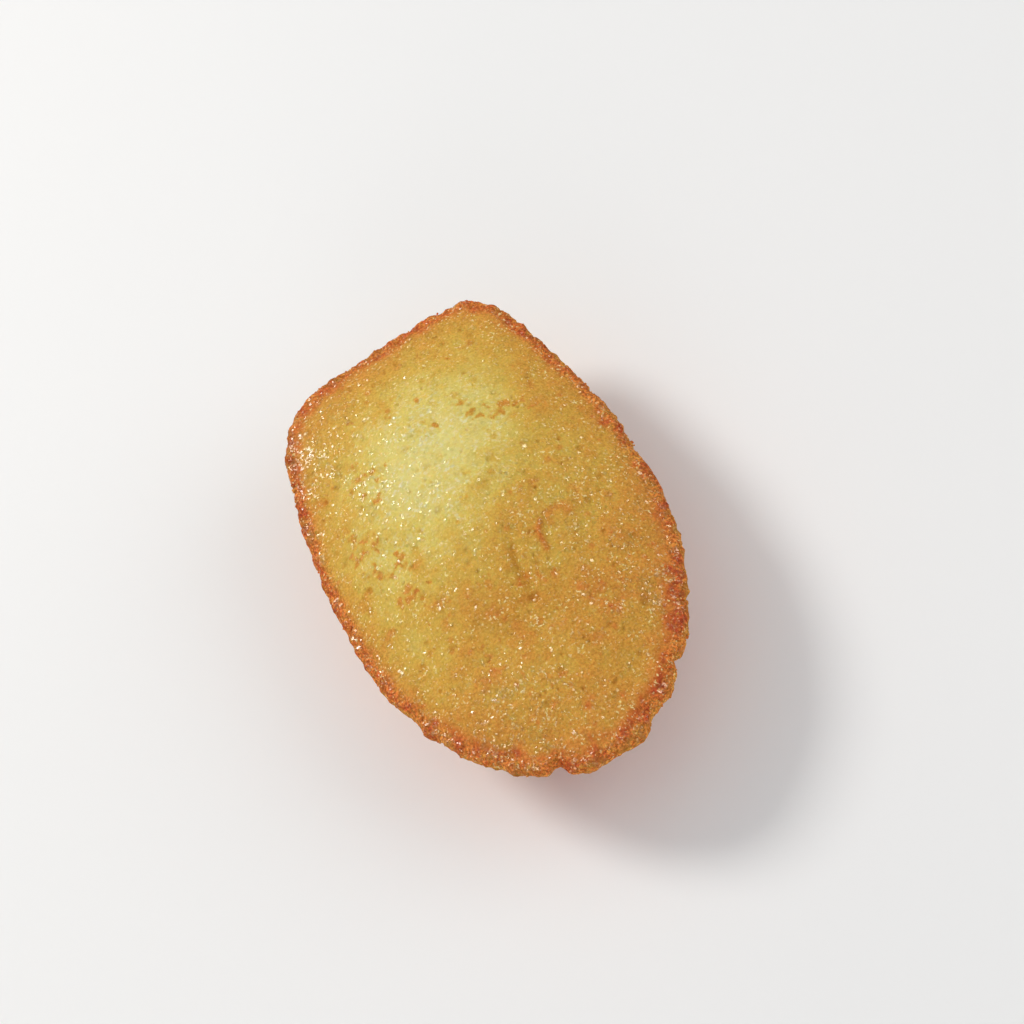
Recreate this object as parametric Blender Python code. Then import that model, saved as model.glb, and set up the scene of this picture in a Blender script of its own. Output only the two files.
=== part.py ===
"""A madeleine: a small sponge cake baked in a shell-shaped tin. It lies on its shell, risen side up.

It is one solid. +Z is up, +Y points from the rounded, scalloped fan end to the squarish hinge end, and the
origin is under the middle of the cake, on the surface that it stands on. Units are metres.

The skin is a stack of closed rings. Each ring has one point on every spoke, so that the rings join into
strips of quads: down from the dome's middle, round the rim and under the shell. Under the shell the spokes
of the fan end lean towards the hinge, and the ribs follow them.
"""

import math

import bmesh
import bpy
import numpy as np

# Driving sizes.
LENGTH = 0.075  # hinge edge to fan tip
WIDTH = 0.0468  # across the widest place
SHELL_DEPTH = 0.0140  # rest spot up to the underside of the rim
RIM_THICKNESS = 0.0024  # the thin edge all round, between the shell and the risen top
DOME_HEIGHT = 0.0078  # the bump, over the top of the rim

# Outline: a half ellipse at the fan end and a squarish, tapered half at the hinge end.
FAN_SHARE = 0.470  # share of the length on the fan side of the widest place
FAN_LENGTH = LENGTH * FAN_SHARE
HINGE_LENGTH = LENGTH - FAN_LENGTH
HALF_WIDTH = WIDTH / 2
WIDEST_Y = FAN_LENGTH - LENGTH / 2
MIDDLE = np.array([0.0, WIDEST_Y])
FAN_POWER = 1.94  # superellipse power: 2 is an ellipse
HINGE_POWER = 5.6
LEFT_TAPER = 0.130  # how much nearer the middle line the hinge end is than the widest place, at -X
RIGHT_TAPER = 0.235  # and at +X
TAPER_START = 0.7  # over this share of the hinge half the taper sets in
HINGE_SLANT = 0.100  # the hinge edge isn't quite square to the length
OUTLINE_SAMPLES = 1440

# Ribs, counted along the rim. Rib 0 is the middle one, and the grooves are at the halves between. The edges
# are rim lengths from the fan tip, below zero on the -X side: the ends of the first and last rib, and the
# grooves between.
RIB_EDGES = (-0.0395, -0.0310, -0.0225, -0.0145, -0.0073, 0.0010, 0.0090, 0.0166, 0.0255, 0.0345)
RIB_COUNT = len(RIB_EDGES) - 1
RIB_FADE = 1.1  # the last ribs at the sides die away over this many ribs
RIB_FOCUS = np.array([0.0, 0.018])  # the ribs run towards this place on the hinge side
FULL_LEAN = 0.022  # rim length from the fan tip to where the spokes lean less
NO_LEAN = 0.066  # and to where they run straight to the middle
GROOVE_DEPTH = 0.0012
GROOVE_UNEVENNESS = 0.35  # how much shallower the faintest groove is than the deepest
GROOVE_RATE = 1.9
GROOVE_START = -0.62
GROOVE_INNER_END = 0.42  # share of the shell's rings, from the middle, where the grooves begin
GROOVE_FULL = 0.88  # and where they have their full depth
SCALLOPS = (0.0002, 0.0001, 0.0005, 0.0014, 0.0005, 0.0011, 0.0009, 0.0003)  # how far each draws the rim in
SCALLOP_SHYNESS = 9  # how soon the scallops fade from the rim towards the dome

# Rim and shell.
RIM_TOP = SHELL_DEPTH + RIM_THICKNESS
RIM_TOP_ROUND = 0.0014  # radius of the rim's upper edge
RIM_FOOT_ROUND = 0.0006  # radius of its lower edge
SIDE_LEDGE = 0.0013  # from the edge of the rim in to the wall of the shell
HINGE_LEDGE = 0.0026  # the same at the hinge edge
HINGE_REGION = (0.34, 0.44)  # shares of the rim's length between which the ledge widens
RIM_WAVER = 0.0004  # the rim rises and dips a little along its run
RIM_WAVES = ((2, 1.0, 0.6), (3, 0.6, 2.1))  # waves round the rim: count, share of the waver and start
SHELL_ROUNDNESS = 2.3  # how flat the belly is before the shell turns up
SHELL_STEEPNESS = 0.70  # under 1 steepens the wall at the rim
REST_CUT = 0.0005  # how much of the belly's crown the flat rest spot takes off

# Risen top: a shoulder round the edge, the bump towards the hinge, and a low swell across the fan end.
SHOULDER = 0.0042
SHOULDER_ROUNDNESS = 2.4
BUMP_CENTRE = np.array([-0.0012, 0.0075])
BUMP_SPREAD = np.array([0.0150, 0.0200])
SWELL_CENTRE = np.array([0.0010, -0.0220])
SWELL_SPREAD = np.array([0.0140, 0.0065])
SWELL_HEIGHT = 0.0009
EDGE_SHYNESS = 4  # the bump and the swell keep off the rim

# Fineness of the skin.
SPOKES_PER_RIB = 8
PLAIN_SPOKES = 42  # along the stretch of the rim that has no ribs
TOP_RINGS = 12
TOP_CROWDING = 0.8  # under 1 draws the rings towards the rim
TOP_LIFT_POWER = 4  # how soon the rim's waver fades towards the dome's middle
SHELL_RINGS = 20
SHELL_CROWDING = 0.9
SHELL_LIFT_POWER = 8
TOP_ROUND_ANGLES = (64, 38, 12)  # degrees over level, down the rim's upper edge
FOOT_ROUND_ANGLES = (-10, -45, -80)  # and round its lower edge

CRUST_COLOUR = (0.63, 0.33, 0.08, 1.0)
CRUST_ROUGHNESS = 0.55


def ease(value, low, high):
    """0 below low and 1 above high, with a smooth turn between them."""
    share = np.clip((value - low) / (high - low), 0.0, 1.0)
    return share * share * (3.0 - 2.0 * share)


def plain_outline(turns):
    """Points of the outline without its scallops. Turn 0 is the fan tip, and 0.5 is the hinge edge."""
    across = np.sin(2 * math.pi * turns)
    along = -np.cos(2 * math.pi * turns)
    hinge_side = along > 0
    power = np.where(hinge_side, HINGE_POWER, FAN_POWER)
    scale = (np.abs(across) ** power + np.abs(along) ** power) ** (-1 / power)
    across = across * scale
    along = along * scale
    past_start = np.maximum(along, 0.0)
    taper = np.where(across > 0, RIGHT_TAPER, LEFT_TAPER)
    taper = taper * past_start * ease(past_start, 0.0, TAPER_START)
    x = HALF_WIDTH * across * (1 - taper)
    y = WIDEST_Y + np.where(hinge_side, HINGE_LENGTH, FAN_LENGTH) * along
    y = y + HINGE_SLANT * x * past_start**2
    return np.column_stack([x, y])


def outward(points):
    """Unit vectors that point out of a closed loop of points, square to it."""
    tangent = np.roll(points, -1, axis=0) - np.roll(points, 1, axis=0)
    tangent /= np.linalg.norm(tangent, axis=1)[:, None]
    return np.column_stack([tangent[:, 1], -tangent[:, 0]])


class Rim:
    """The rim's run, measured from the fan tip: positive on the +X side and negative on the -X side."""

    def __init__(self):
        self.turns = np.arange(OUTLINE_SAMPLES) / OUTLINE_SAMPLES - 0.5
        points = plain_outline(self.turns)
        steps = np.linalg.norm(np.roll(points, -1, axis=0) - points, axis=1)
        run = np.concatenate([[0.0], np.cumsum(steps)[:-1]])
        self.length = float(steps.sum())
        self.run = run - run[OUTLINE_SAMPLES // 2]

    def turn_at(self, run):
        return np.interp(run, self.run, self.turns)


RIM = Rim()


def rib_run(rib):
    """Place along the rim of a rib, or of a fraction of one."""
    return np.interp(rib, np.arange(RIB_COUNT + 1) - RIB_COUNT / 2, RIB_EDGES)


def groove(rib):
    """0 on the crest of a rib and up to 1 at the bottom of the groove between two."""
    crest = np.abs(np.cos(math.pi * rib))
    last = RIB_COUNT / 2
    in_zone = 1 - ease(np.abs(rib), last - RIB_FADE, last)
    unevenness = 0.5 + 0.5 * np.sin(GROOVE_RATE * rib + GROOVE_START)
    return (1 - crest) * in_zone * (1 - GROOVE_UNEVENNESS * unevenness)


def scallop(rib):
    """How far the rim draws in at a rib, or at a fraction of one: each groove has its own depth there."""
    place = np.floor(rib + len(SCALLOPS) / 2).astype(int)
    inside = (place >= 0) & (place < len(SCALLOPS))
    depths = np.array(SCALLOPS)[np.clip(place, 0, len(SCALLOPS) - 1)]
    return np.where(inside, depths, 0.0) * (1 - np.abs(np.cos(math.pi * rib)))


def spokes():
    """Where the spokes meet the rim, and each one's groove and scallop: close together over the ribs."""
    last = RIB_COUNT / 2
    ribs = np.linspace(-last, last, RIB_COUNT * SPOKES_PER_RIB + 1)
    ribbed = rib_run(ribs)
    plain = np.linspace(ribbed[-1], ribbed[0] + RIM.length, PLAIN_SPOKES + 1)[1:-1]
    runs = np.concatenate([ribbed, plain])
    runs = np.where(runs > RIM.length / 2, runs - RIM.length, runs)
    smooth = np.zeros(len(plain))
    return runs, np.concatenate([groove(ribs), smooth]), np.concatenate([scallop(ribs), smooth])


def roundness(share, points):
    """Share of the way from the middle to the edge: squarish rings near the edge and oval ones inside."""
    y = points[:, 1] - WIDEST_Y
    half_length = np.where(y > 0, HINGE_LENGTH, FAN_LENGTH)
    oval = np.hypot(points[:, 0] / HALF_WIDTH, y / half_length)
    squarish = share * share
    return np.minimum(share * squarish + oval * (1 - squarish), 1.0)


def hill(points, centre, spread):
    return np.exp(-np.sum(((points - centre) / spread) ** 2, axis=1))


def dome_height(share, points):
    """Height of the risen top over the top of the rim."""
    edge = roundness(share, points)
    shoulder = SHOULDER * (1 - edge**SHOULDER_ROUNDNESS)
    bump = (DOME_HEIGHT - SHOULDER) * hill(points, BUMP_CENTRE, BUMP_SPREAD)
    swell = SWELL_HEIGHT * hill(points, SWELL_CENTRE, SWELL_SPREAD)
    return shoulder + (1 - edge**EDGE_SHYNESS) * (bump + swell)


def shell_height(share, points):
    """Height of the shell over the surface that the cake stands on, with its crown cut to the rest spot."""
    edge = roundness(share, points)
    bowl = 1 - (1 - edge**SHELL_ROUNDNESS) ** SHELL_STEEPNESS
    return np.maximum((SHELL_DEPTH + REST_CUT) * bowl - REST_CUT, 0.0)


def waver(runs):
    """How far the rim rises or dips at a place along its run."""
    angle = 2 * math.pi * runs / RIM.length
    return RIM_WAVER * sum(share * np.sin(count * angle + start) for count, share, start in RIM_WAVES)


def ledge(runs):
    """How far the rim stands out over the wall of the shell."""
    hinge = ease(np.abs(runs) / RIM.length, *HINGE_REGION)
    return SIDE_LEDGE + (HINGE_LEDGE - SIDE_LEDGE) * hinge


def shell_points(share, wall, runs):
    """Points of one ring under the shell, on spokes that leave the wall towards the ribs' focus."""
    lean = 1 - ease(np.abs(runs), FULL_LEAN, NO_LEAN)
    aim = MIDDLE + lean[:, None] * (RIB_FOCUS - MIDDLE)
    bend = (wall + aim) / 2
    inward = 1 - share
    return share**2 * wall + 2 * share * inward * bend + inward**2 * MIDDLE


def skin_rings():
    """The rings from the middle of the dome, round the rim, to the middle of the rest spot."""
    runs, _, scallops = spokes()
    plain = plain_outline(RIM.turn_at(runs))
    out = outward(plain)
    scallops = out * scallops[:, None]
    outline = plain - scallops
    lift = waver(runs)
    rings = []

    def add(points, heights):
        rings.append(np.column_stack([points, heights]))

    for step in np.linspace(0.0, 1.0, TOP_RINGS + 1)[1:]:
        share = math.sin(step * math.pi / 2) ** TOP_CROWDING
        top_edge = plain - scallops * share**SCALLOP_SHYNESS - out * RIM_TOP_ROUND
        points = MIDDLE + share * (top_edge - MIDDLE)
        add(points, RIM_TOP + dome_height(share, points) + lift * share**TOP_LIFT_POWER)
    for angle in map(math.radians, TOP_ROUND_ANGLES):
        points = outline - out * (RIM_TOP_ROUND * (1 - math.cos(angle)))
        add(points, RIM_TOP - RIM_TOP_ROUND * (1 - math.sin(angle)) + lift)
    for angle in map(math.radians, FOOT_ROUND_ANGLES):
        points = outline - out * (RIM_FOOT_ROUND * (1 - math.cos(angle)))
        add(points, SHELL_DEPTH + RIM_FOOT_ROUND * (1 + math.sin(angle)) + lift)
    wall = outline - out * ledge(runs)[:, None]
    for step in np.linspace(1.0, 0.0, SHELL_RINGS + 1)[:-1]:
        share = math.sin(step * math.pi / 2) ** SHELL_CROWDING
        points = shell_points(share, wall, runs)
        add(points, shell_height(share, points) + lift * share**SHELL_LIFT_POWER)
    return rings


def skin(rings):
    """A closed bmesh over the rings, with a single point at its top and at its bottom."""
    mesh = bmesh.new()
    loops = [[mesh.verts.new(point) for point in points] for points in rings]
    count = len(loops[0])
    for upper, lower in zip(loops, loops[1:]):
        for i in range(count):
            j = (i + 1) % count
            mesh.faces.new([upper[i], lower[i], lower[j], upper[j]])
    peak = mesh.verts.new((*MIDDLE, RIM_TOP + dome_height(0.0, MIDDLE[None, :])[0]))
    foot = mesh.verts.new((*MIDDLE, 0.0))
    for i in range(count):
        j = (i + 1) % count
        mesh.faces.new([peak, loops[0][i], loops[0][j]])
        mesh.faces.new([foot, loops[-1][j], loops[-1][i]])
    bmesh.ops.recalc_face_normals(mesh, faces=mesh.faces)
    return mesh, loops


def press_grooves(mesh, shell_loops):
    """Presses the grooves into the shell, square to its surface, and leaves the belly smooth."""
    mesh.normal_update()
    _, grooves, _ = spokes()
    moves = []
    for k, loop in enumerate(shell_loops):
        step = 1 - k / len(shell_loops)
        depths = GROOVE_DEPTH * ease(step, GROOVE_INNER_END, GROOVE_FULL) * grooves
        moves += [(vert, vert.normal * float(-depth)) for vert, depth in zip(loop, depths)]
    for vert, move in moves:
        vert.co += move


def centre_on_origin(mesh):
    """Moves the cake so that the middle of its box stands over the origin."""
    corners = np.array([v.co for v in mesh.verts])
    middle = (corners.min(axis=0) + corners.max(axis=0)) / 2
    bmesh.ops.translate(mesh, verts=mesh.verts, vec=(-middle[0], -middle[1], 0.0))


def crust_material():
    material = bpy.data.materials.new("golden_crust")
    material.use_nodes = True
    shader = material.node_tree.nodes["Principled BSDF"]
    shader.inputs["Base Color"].default_value = CRUST_COLOUR
    shader.inputs["Roughness"].default_value = CRUST_ROUGHNESS
    shader.inputs["Metallic"].default_value = 0.0
    return material


def clear_scene():
    for obj in list(bpy.data.objects):
        bpy.data.objects.remove(obj, do_unlink=True)


def main():
    clear_scene()
    mesh, loops = skin(skin_rings())
    press_grooves(mesh, loops[-SHELL_RINGS:])
    centre_on_origin(mesh)
    data = bpy.data.meshes.new("madeleine")
    mesh.to_mesh(data)
    mesh.free()
    data.shade_smooth()
    data.materials.append(crust_material())
    cake = bpy.data.objects.new("madeleine", data)
    bpy.context.scene.collection.objects.link(cake)


main()
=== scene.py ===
"""The looks of the madeleine: its uneven crumb, browned rim and ribbed shell crust, on a pale studio floor.

Two skins replace the solid: the risen top with its rim, and the ribbed shell. Each is a square grid with rows
round it, laid on the solid's own outline, dome, rim and ribs. Crumb, dimples, pits and pores are then pressed
into it, and it carries the masks that its material reads: how far each place is baked, how much painted shade
its hollows get, and how near the rim. Crumbs cling to the rim, and wet grains are strewn over the top. Units
are metres.
"""

import math

import bmesh
import bpy
import numpy as np
from mathutils import Matrix, Vector, noise


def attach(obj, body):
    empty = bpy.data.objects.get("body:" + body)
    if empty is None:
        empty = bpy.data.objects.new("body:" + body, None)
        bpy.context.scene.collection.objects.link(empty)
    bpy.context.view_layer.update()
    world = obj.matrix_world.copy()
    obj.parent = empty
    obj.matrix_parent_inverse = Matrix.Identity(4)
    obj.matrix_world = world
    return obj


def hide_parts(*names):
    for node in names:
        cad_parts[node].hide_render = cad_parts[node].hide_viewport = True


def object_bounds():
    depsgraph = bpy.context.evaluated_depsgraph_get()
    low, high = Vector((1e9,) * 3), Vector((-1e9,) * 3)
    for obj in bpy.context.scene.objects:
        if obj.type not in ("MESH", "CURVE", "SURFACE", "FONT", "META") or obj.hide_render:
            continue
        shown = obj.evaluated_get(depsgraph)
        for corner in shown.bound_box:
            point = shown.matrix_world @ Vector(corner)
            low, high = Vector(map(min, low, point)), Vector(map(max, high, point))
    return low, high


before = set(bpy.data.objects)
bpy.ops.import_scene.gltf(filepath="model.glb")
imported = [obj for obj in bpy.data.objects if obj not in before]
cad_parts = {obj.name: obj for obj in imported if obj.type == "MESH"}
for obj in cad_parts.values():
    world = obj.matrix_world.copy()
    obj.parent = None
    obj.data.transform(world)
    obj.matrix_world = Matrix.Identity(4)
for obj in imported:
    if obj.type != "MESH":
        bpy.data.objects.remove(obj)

CAD_BOX = [list(corner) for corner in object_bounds()]

# Box from the frame, and sizes as in part.py. The skin starts inside the solid by the height of its crumb.
CAD_LOW, CAD_HIGH = (np.array(corner) for corner in CAD_BOX)
CRUMB_ROOM = 0.00020
LENGTH = 0.075 - 2 * CRUMB_ROOM
WIDTH = 0.0468 - 2 * CRUMB_ROOM
RIM_THICKNESS = 0.0024
DOME_HEIGHT = 0.0078 - CRUMB_ROOM
SHELL_DEPTH = 0.0140

# Outline, as in part.py: a half ellipse at the fan end and a squarish, tapered half at the hinge end.
FAN_SHARE = 0.470
FAN_LENGTH = LENGTH * FAN_SHARE
HINGE_LENGTH = LENGTH - FAN_LENGTH
HALF_WIDTH = WIDTH / 2
WIDEST_Y = FAN_LENGTH - LENGTH / 2
MIDDLE = np.array([0.0, WIDEST_Y])
FAN_POWER = 1.94
HINGE_POWER = 5.6
LEFT_TAPER = 0.130
RIGHT_TAPER = 0.235
TAPER_START = 0.7
HINGE_SLANT = 0.100
OUTLINE_SAMPLES = 2880

# Ribs under the fan end: where the grooves between them meet the rim, along its run, and how deep they are.
RIB_EDGES = (-0.0395, -0.0310, -0.0225, -0.0145, -0.0073, 0.0010, 0.0090, 0.0166, 0.0255, 0.0345)
RIB_COUNT = len(RIB_EDGES) - 1
RIB_FADE = 1.1
RIB_FOCUS = np.array([0.0, 0.018])
FULL_LEAN = 0.022
NO_LEAN = 0.066
GROOVE_DEPTH = 0.0012
GROOVE_UNEVENNESS = 0.35
GROOVE_RATE = 1.9
GROOVE_START = -0.62
GROOVE_INNER_END = 0.55
GROOVE_FULL = 0.97
# How far each groove draws the rim in.
SCALLOPS = (0.0002, 0.0001, 0.0005, 0.0014, 0.0005, 0.0011, 0.0009, 0.0003)
SCALLOP_SHYNESS = 9

# Rim and shell.
RIM_TOP = SHELL_DEPTH + RIM_THICKNESS
RIM_TOP_ROUND = 0.0014
RIM_FOOT_ROUND = 0.0006
SIDE_LEDGE = 0.0013
HINGE_LEDGE = 0.0026
HINGE_REGION = (0.34, 0.44)
RIM_WAVER = 0.0004
RIM_WAVES = ((2, 1.0, 0.6), (3, 0.6, 2.1))
SHELL_ROUNDNESS = 2.3
SHELL_STEEPNESS = 0.70
REST_CUT = 0.0005

# Risen top.
SHOULDER = 0.0042
SHOULDER_ROUNDNESS = 2.4
BUMP_CENTRE = np.array([-0.0012, 0.0075])
BUMP_SPREAD = np.array([0.0150, 0.0200])
SWELL_CENTRE = np.array([0.0010, -0.0220])
SWELL_SPREAD = np.array([0.0140, 0.0065])
SWELL_HEIGHT = 0.0009
VALLEY_CENTRE = np.array([0.0000, -0.0178])
VALLEY_SPREAD = np.array([0.0100, 0.0036])
EDGE_SHYNESS = 4

# Fineness of the two pieces: rings of each square grid, and rows round the rim.
TOP_GRID = 145
SHELL_GRID = 150
TOP_LIFT_POWER = 4
SHELL_LIFT_POWER = 8
TOP_ARC_ROWS = 5
SIDE_ROWS = 2
FOOT_ROWS = 2
LEDGE_ROWS = 3
INSIDE_STEP = 0.0009  # how far each piece reaches into the other, out of sight
FOOT = RIM_THICKNESS - RIM_TOP_ROUND - RIM_FOOT_ROUND + RIM_FOOT_ROUND * math.pi / 2  # down the rim's side

# Marks: how many, and the smallest and largest reach of one.
MM = 0.001
PIT_COUNT = 140
PIT_SIZES = (0.0003, 0.0009)
AMBER_COUNT = 60
AMBER_SIZES = (0.0009, 0.0021)
SPECK_COUNT = 150
SPECK_SIZES = (0.0003, 0.0009)
PORE_COUNT = 260
PORE_SIZES = (0.0003, 0.0008)
EDGE_MARGIN = 0.93  # marks stay within this share of the way out to the rim
MARK_WARP = 0.0007  # how far the edges of the larger marks are nudged about

# Heights of the top's relief. The mesh moves out by the first ones and in by the others.
LUMP_HEIGHT = 0.00040
DIMPLE_HEIGHT = 0.00030
CURL_HEIGHT = 0.00026
CRUMB_HEIGHT = 0.00010
GRAIN_HEIGHT = 0.00002
RAGGED_HEIGHT = 0.00050  # at the rim alone, with its own coarser crumb
RIM_CRUMB_HEIGHT = 0.00012
PIT_DEPTH = 0.00024
AMBER_DEPTH = 0.00012
CREASE_DEPTH = 0.00050
VALLEY_DEPTH = 0.00075

# And of the shell's.
SHELL_LUMP_HEIGHT = 0.00018
SHELL_CRUMB_HEIGHT = 0.00008
PORE_DEPTH = 0.00014

# Fields of darker freckles on the risen top: middle and spread in millimetres, and how many are strewn there.
FRECKLES = (
    (-13, 1, 2, 14),
    (-15, 7, 3, 13),
    (-11, 14, 4, 11),
    (-12, -5, 3, 7),
    (9, 14, 3, 16),
    (0, 22, 8, 6),
    (4, -11, 4, 6),
    (9, -16, 4, 12),
    (-7, -19, 3, 6),
    (-1, -27, 3, 4),
)
FRECKLE_SIZES = (0.30, 0.90)
# A crease that runs down from the bump to a small hole, a curl of crust, and an open ring beside it. The
# crease and hole get painted shade.
CREASE = ((2.0, -6.5), (1.5, -9.0), (1.5, -12.5))
CREASE_WIDTH = 0.75
HOLE = (1.5, -14.0)
HOLE_REACH = 1.3
CURL = ((7.0, -4.5), (6.0, -6.0), (6.0, -8.5))
CURL_WIDTH = 0.45
RING_MIDDLE = (9.5, -5.0)
RING_RADIUS = 1.5
RING_WIDTH = 0.55
RING_TURN = (10, 200)  # degrees round it, from +X
# The brown notch in the fan end's rim, which also gets painted shade.
NOTCH = ((-6.5, -37.5), (-6.0, -35.0))
NOTCH_WIDTH = 0.7
# The palest place, on the bump: its middle and reach in millimetres, and how it is turned.
PALE_MIDDLE = (-1.2, 13.5)
PALE_REACH = (15.0, 11.0)
PALE_TURN = 28.0
# The place below the bump with painted shade: darker, and a little less baked.
DIP_SHADE_Y = -12.0
DIP_SHADE_REACH = 8.0
# Crumbs that cling to the rim: how many, the smallest radius, and how much larger the largest are.
RIM_CRUMBS = 300
RIM_CRUMB_SIZE = 0.00010
RIM_CRUMB_GROWTH = 0.00022
# Wet grains: how many, half lengths, roundness, random tip, and how deep their edges go.
GLAZE_COUNT = 10400
GLAZE_SIZES = (0.00010, 0.00038)
GLAZE_ROUND = 0.0010
GLAZE_TIP = 0.15
GLAZE_SINK = 0.00006
GLAZE_SIDES = 6
# Where they lie thickest: place and reach in millimetres, and how thick.
GLAZE = (
    (-17, 24.5, 5.0, 2.8),
    (-8, 11, 8.0, 0.7),
    (-9, -28, 6.5, 1.8),
    (16, -20, 5.0, 1.0),
    (13, -3, 8.0, 0.7),
)

# The rim's brown line along its run: run, the line's middle, half width and depth, and the orange
# fringe's reach and depth. Runs and sizes are in millimetres, and depths are shares of full baking.
RIM_LOOK = (
    (-95, 1.8, 1.5, 0.90, 5.0, 0.67),
    (-84, 1.9, 1.7, 0.91, 6.0, 0.72),
    (-74, 1.5, 1.7, 0.92, 5.5, 0.72),
    (-58, 0.9, 1.3, 0.93, 3.2, 0.74),
    (-36, 1.2, 1.7, 0.92, 3.0, 0.77),
    (-8, 1.5, 2.0, 0.92, 3.2, 0.79),
    (6, 2.0, 1.6, 0.96, 3.2, 0.79),
    (26, 2.3, 1.4, 1.02, 3.0, 0.81),
    (38, 1.6, 1.4, 1.00, 3.0, 0.80),
    (60, 1.1, 1.1, 0.95, 3.2, 0.73),
    (78, 1.6, 1.3, 0.94, 4.2, 0.70),
    (95, 1.8, 1.5, 0.90, 5.0, 0.67),
)


def ease(value, low, high):
    """0 below low and 1 above high, with a smooth turn between them."""
    share = np.clip((value - low) / (high - low), 0.0, 1.0)
    return share * share * (3.0 - 2.0 * share)


def plain_outline(turns):
    """Points of the outline without its scallops. Turn 0 is the fan tip, and 0.5 is the hinge edge."""
    across = np.sin(2 * math.pi * turns)
    along = -np.cos(2 * math.pi * turns)
    hinge_side = along > 0
    power = np.where(hinge_side, HINGE_POWER, FAN_POWER)
    scale = (np.abs(across) ** power + np.abs(along) ** power) ** (-1 / power)
    across = across * scale
    along = along * scale
    past_start = np.maximum(along, 0.0)
    taper = np.where(across > 0, RIGHT_TAPER, LEFT_TAPER)
    taper = taper * past_start * ease(past_start, 0.0, TAPER_START)
    x = HALF_WIDTH * across * (1 - taper)
    y = WIDEST_Y + np.where(hinge_side, HINGE_LENGTH, FAN_LENGTH) * along
    y = y + HINGE_SLANT * x * past_start**2
    return np.column_stack([x, y])


class Rim:
    """The rim's run, measured from the fan tip: positive on the +X side and negative on the -X side."""

    def __init__(self):
        turns = np.arange(OUTLINE_SAMPLES) / OUTLINE_SAMPLES - 0.5
        self.points = plain_outline(turns)
        ahead = np.roll(self.points, -1, axis=0)
        steps = np.linalg.norm(ahead - self.points, axis=1)
        run = np.concatenate([[0.0], np.cumsum(steps)[:-1]])
        self.length = float(steps.sum())
        self.run = run - run[OUTLINE_SAMPLES // 2]
        tangent = ahead - np.roll(self.points, 1, axis=0)
        tangent /= np.linalg.norm(tangent, axis=1)[:, None]
        self.out = np.column_stack([tangent[:, 1], -tangent[:, 0]])
        ribs = np.linspace(-RIB_COUNT / 2, RIB_COUNT / 2, OUTLINE_SAMPLES)
        self.rib_runs = rib_run(ribs)
        self.groove_table = groove(ribs)
        self.scallop_table = scallop(ribs)

    def at(self, runs, table):
        return np.column_stack([np.interp(runs, self.run, column, period=self.length) for column in table.T])

    def outline(self, runs):
        return self.at(runs, self.points)

    def outward(self, runs):
        return self.at(runs, self.out)

    def groove(self, runs):
        return np.interp(runs, self.rib_runs, self.groove_table, left=0.0, right=0.0)

    def scallop(self, runs):
        return np.interp(runs, self.rib_runs, self.scallop_table, left=0.0, right=0.0)


def rib_run(rib):
    """Place along the rim of a rib, or of a fraction of one."""
    return np.interp(rib, np.arange(RIB_COUNT + 1) - RIB_COUNT / 2, RIB_EDGES)


def groove(rib):
    """0 on the crest of a rib and up to 1 at the bottom of the groove between two."""
    crest = np.abs(np.cos(math.pi * rib))
    last = RIB_COUNT / 2
    in_zone = 1 - ease(np.abs(rib), last - RIB_FADE, last)
    unevenness = 0.5 + 0.5 * np.sin(GROOVE_RATE * rib + GROOVE_START)
    return (1 - crest) * in_zone * (1 - GROOVE_UNEVENNESS * unevenness)


def scallop(rib):
    """How far the rim draws in at a rib, or at a fraction of one: each groove has its own depth there."""
    place = np.floor(rib + len(SCALLOPS) / 2).astype(int)
    inside = (place >= 0) & (place < len(SCALLOPS))
    depths = np.array(SCALLOPS)[np.clip(place, 0, len(SCALLOPS) - 1)]
    return np.where(inside, depths, 0.0) * (1 - np.abs(np.cos(math.pi * rib)))


def roundness(share, points):
    """Share of the way from the middle to the edge. Rings are squarish near the edge and oval inside."""
    y = points[:, 1] - WIDEST_Y
    half_length = np.where(y > 0, HINGE_LENGTH, FAN_LENGTH)
    oval = np.hypot(points[:, 0] / HALF_WIDTH, y / half_length)
    squarish = share * share
    return np.minimum(share * squarish + oval * (1 - squarish), 1.0)


def hill(points, centre, spread):
    return np.exp(-np.sum(((points - centre) / spread) ** 2, axis=1))


def dome_height(share, points):
    """Height of the risen top over the top of the rim."""
    edge = roundness(share, points)
    shoulder = SHOULDER * (1 - edge**SHOULDER_ROUNDNESS)
    bump = (DOME_HEIGHT - SHOULDER) * hill(points, BUMP_CENTRE, BUMP_SPREAD)
    swell = SWELL_HEIGHT * hill(points, SWELL_CENTRE, SWELL_SPREAD)
    return shoulder + (1 - edge**EDGE_SHYNESS) * (bump + swell)


def shell_height(share, points):
    """Height of the shell over the surface that the cake stands on, with its crown cut to the rest spot."""
    edge = roundness(share, points)
    bowl = 1 - (1 - edge**SHELL_ROUNDNESS) ** SHELL_STEEPNESS
    return np.maximum((SHELL_DEPTH + REST_CUT) * bowl - REST_CUT, 0.0)


def waver(runs):
    """How far the rim rises or dips at a place along its run."""
    angle = 2 * math.pi * runs / RIM.length
    return RIM_WAVER * sum(share * np.sin(count * angle + start) for count, share, start in RIM_WAVES)


def ledge(runs):
    """How far the rim stands out over the wall of the shell."""
    hinge = ease(np.abs(runs) / RIM.length, *HINGE_REGION)
    return SIDE_LEDGE + (HINGE_LEDGE - SIDE_LEDGE) * hinge


RIM = Rim()
DRAWN = RIM.points - RIM.out * RIM.scallop(RIM.run)[:, None]
CENTRE_Y = (DRAWN[:, 1].min() + DRAWN[:, 1].max()) / 2


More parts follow.
